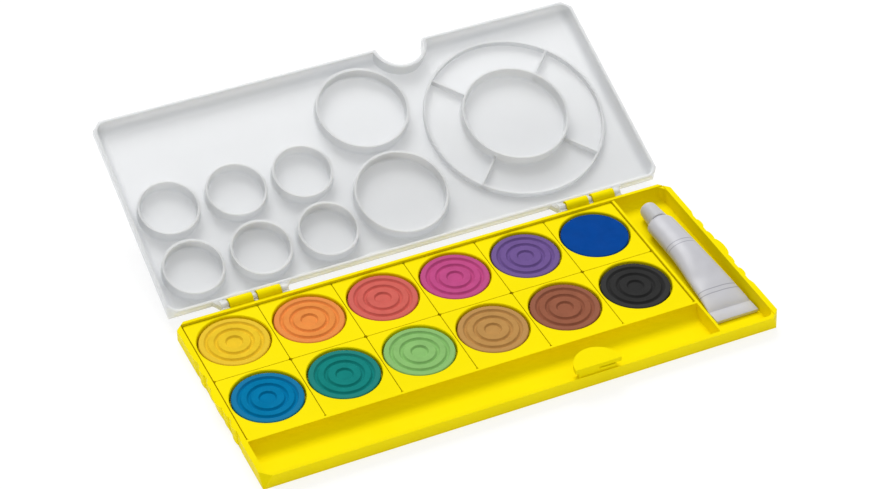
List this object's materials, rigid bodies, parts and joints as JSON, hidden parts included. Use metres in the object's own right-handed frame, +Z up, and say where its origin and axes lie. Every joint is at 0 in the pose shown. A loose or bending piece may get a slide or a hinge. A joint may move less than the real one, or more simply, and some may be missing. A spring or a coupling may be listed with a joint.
{
  "type": "gouache paint set box",
  "caption": "Flat hinged paint box shown open: round gouache cakes in lift-out pans, a brush trough, a small tube in its bay, and a white lid that serves as a mixing palette.",
  "frame": {"origin": "on the tray's flat underside, midway between its two short rims and midway between its two long rims", "axes": "+X along the long side to the right, +Y from the trough towards the hinge, +Z up out of the tray"},
  "size_m": [0.2456, 0.2098, 0.0482],
  "materials": {
    "tray_yellow": "bright yellow moulded plastic, satin sheen",
    "palette_white": "white moulded plastic, soft gloss",
    "pan_yellow": "bright yellow moulded plastic, satin sheen",
    "tube_foil": "pale grey lacquered foil, satin",
    "cap_white": "off-white smooth plastic",
    "paint_blue": "blue gouache cake, dry and matt",
    "paint_teal": "teal gouache cake, dry and matt",
    "paint_light_green": "light green gouache cake, dry and matt",
    "paint_ochre": "ochre gouache cake, dry and matt",
    "paint_red_brown": "red brown gouache cake, dry and matt",
    "paint_black": "black gouache cake, dry and matt",
    "paint_warm_yellow": "warm yellow gouache cake, dry and matt",
    "paint_orange": "orange gouache cake, dry and matt",
    "paint_coral_red": "coral red gouache cake, dry and matt",
    "paint_magenta": "magenta gouache cake, dry and matt",
    "paint_violet": "violet gouache cake, dry and matt",
    "paint_ultramarine": "ultramarine gouache cake, dry and matt"
  },
  "bodies": {
    "tray": {"base_tray": "tray_yellow"},
    "lid": {"lid_palette": "palette_white"},
    "pan_with_blue": {"pan_blue": "pan_yellow", "tablet_blue": "paint_blue"},
    "pan_with_teal": {"pan_teal": "pan_yellow", "tablet_teal": "paint_teal"},
    "pan_with_light_green": {"pan_light_green": "pan_yellow", "tablet_light_green": "paint_light_green"},
    "pan_with_ochre": {"pan_ochre": "pan_yellow", "tablet_ochre": "paint_ochre"},
    "pan_with_red_brown": {"pan_red_brown": "pan_yellow", "tablet_red_brown": "paint_red_brown"},
    "pan_with_black": {"pan_black": "pan_yellow", "tablet_black": "paint_black"},
    "pan_with_warm_yellow": {"pan_warm_yellow": "pan_yellow", "tablet_warm_yellow": "paint_warm_yellow"},
    "pan_with_orange": {"pan_orange": "pan_yellow", "tablet_orange": "paint_orange"},
    "pan_with_coral_red": {"pan_coral_red": "pan_yellow", "tablet_coral_red": "paint_coral_red"},
    "pan_with_magenta": {"pan_magenta": "pan_yellow", "tablet_magenta": "paint_magenta"},
    "pan_with_violet": {"pan_violet": "pan_yellow", "tablet_violet": "paint_violet"},
    "pan_with_ultramarine": {"pan_ultramarine": "pan_yellow", "tablet_ultramarine": "paint_ultramarine"},
    "tube": {"paint_tube": "tube_foil"},
    "cap": {"tube_cap": "cap_white"}
  },
  "joints": [
    {"name": "lid_hinge", "type": "hinge", "parent": "tray", "child": "lid", "pos_m": [0, 0.0553, 0.0084], "axis": [-1, 0, 0], "range_deg": [-158.1, 0]},
    {"name": "lift_blue", "type": "slide", "parent": "tray", "child": "pan_with_blue", "axis": [0, 0, 1], "range_m": [0, 0.03]},
    {"name": "lift_teal", "type": "slide", "parent": "tray", "child": "pan_with_teal", "axis": [0, 0, 1], "range_m": [0, 0.03]},
    {"name": "lift_light_green", "type": "slide", "parent": "tray", "child": "pan_with_light_green", "axis": [0, 0, 1], "range_m": [0, 0.03]},
    {"name": "lift_ochre", "type": "slide", "parent": "tray", "child": "pan_with_ochre", "axis": [0, 0, 1], "range_m": [0, 0.03]},
    {"name": "lift_red_brown", "type": "slide", "parent": "tray", "child": "pan_with_red_brown", "axis": [0, 0, 1], "range_m": [0, 0.03]},
    {"name": "lift_black", "type": "slide", "parent": "tray", "child": "pan_with_black", "axis": [0, 0, 1], "range_m": [0, 0.03]},
    {"name": "lift_warm_yellow", "type": "slide", "parent": "tray", "child": "pan_with_warm_yellow", "axis": [0, 0, 1], "range_m": [0, 0.03]},
    {"name": "lift_orange", "type": "slide", "parent": "tray", "child": "pan_with_orange", "axis": [0, 0, 1], "range_m": [0, 0.03]},
    {"name": "lift_coral_red", "type": "slide", "parent": "tray", "child": "pan_with_coral_red", "axis": [0, 0, 1], "range_m": [0, 0.03]},
    {"name": "lift_magenta", "type": "slide", "parent": "tray", "child": "pan_with_magenta", "axis": [0, 0, 1], "range_m": [0, 0.03]},
    {"name": "lift_violet", "type": "slide", "parent": "tray", "child": "pan_with_violet", "axis": [0, 0, 1], "range_m": [0, 0.03]},
    {"name": "lift_ultramarine", "type": "slide", "parent": "tray", "child": "pan_with_ultramarine", "axis": [0, 0, 1], "range_m": [0, 0.03]},
    {"name": "lift_tube", "type": "slide", "parent": "tray", "child": "tube", "axis": [0, 0, 1], "range_m": [0, 0.04]},
    {"name": "cap_pull", "type": "slide", "parent": "tube", "child": "cap", "axis": [0, 1, 0], "range_m": [0, 0.008]}
  ]
}
